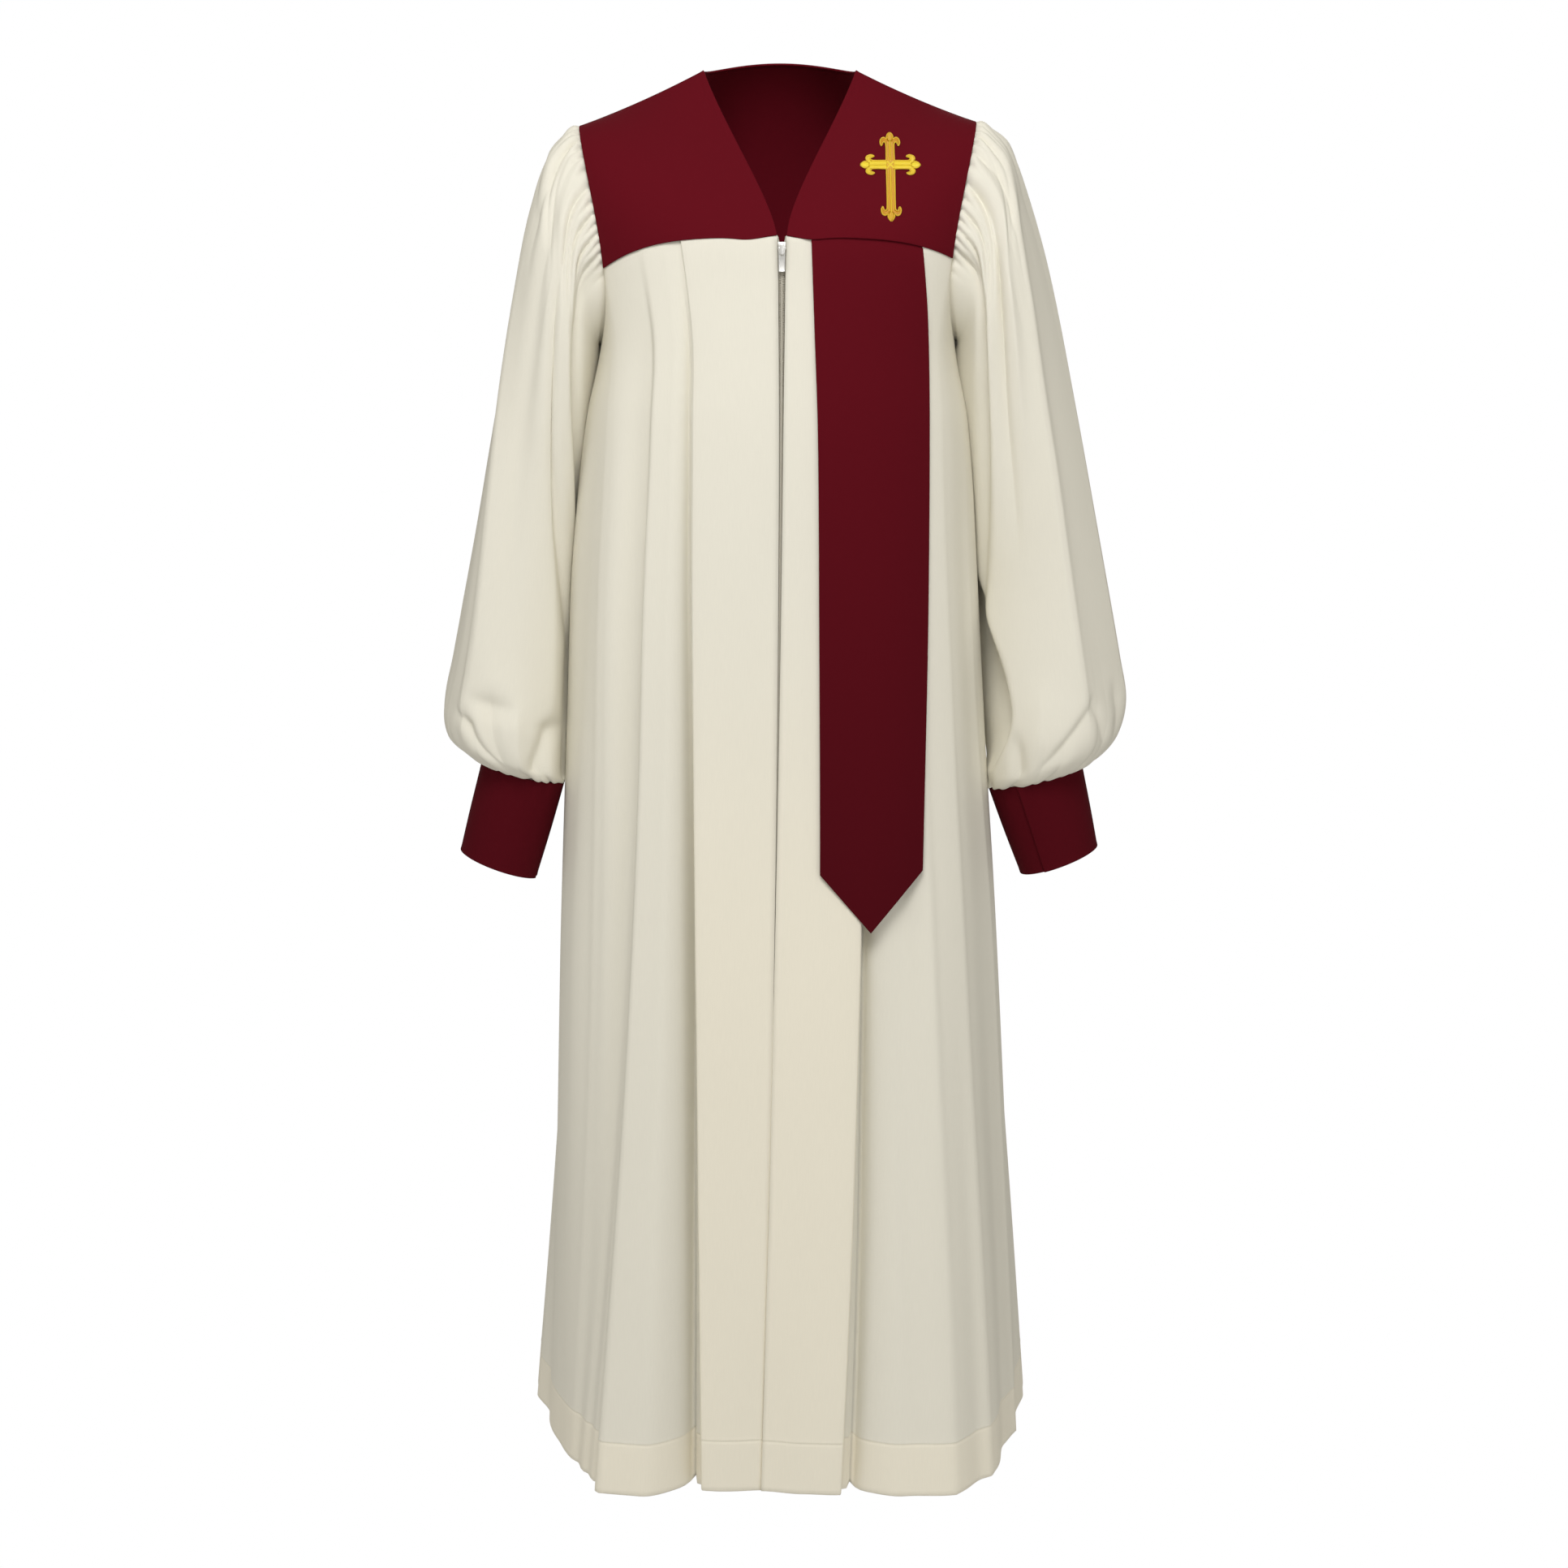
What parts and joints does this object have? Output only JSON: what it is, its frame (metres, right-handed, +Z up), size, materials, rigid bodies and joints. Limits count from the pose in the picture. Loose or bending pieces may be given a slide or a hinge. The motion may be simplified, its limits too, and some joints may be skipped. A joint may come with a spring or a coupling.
{
  "type": "choir robe",
  "caption": "Full-length choir robe with V neck, contrasting yoke, bishop sleeves with cuffs, a pointed stole panel, an embroidered cross and a centre-front zip.",
  "frame": {"origin": "midway between the high points of the two shoulders, where the wearer's shoulders carry the robe", "axes": "+Z up, -Y out of the robe's front, +X towards the wearer's left sleeve"},
  "size_m": [0.68, 0.4315, 1.3709],
  "materials": {
    "cream": "smooth matt polyester weave",
    "burgundy": "matt plain weave, two layers",
    "gold_thread": "satin-stitched thread",
    "zip_tape": "woven tape",
    "zip_chain": "moulded coil",
    "metal": "polished, nickel white"
  },
  "bodies": {
    "robe": {"yoke_front_right": "burgundy", "yoke_front_left": "burgundy", "yoke_back": "burgundy", "body_front_right": "cream", "body_front_left": "cream", "body_back": "cream", "sleeve_right": "cream", "cuff_right": "burgundy", "sleeve_left": "cream", "cuff_left": "burgundy", "stole_panel": "burgundy", "cross": "gold_thread", "zip_tape_right": "zip_tape", "zip_tape_left": "zip_tape", "zip_chain": "zip_chain", "zip_slider": "metal"},
    "pull_tab": {"zip_pull_tab": "metal"}
  },
  "joints": [
    {"name": "pull_hinge", "type": "hinge", "parent": "robe", "child": "pull_tab", "pos_m": [0.002, -0.12206, -0.1685], "axis": [-1, 0, 0], "range_deg": [0, 160]}
  ]
}
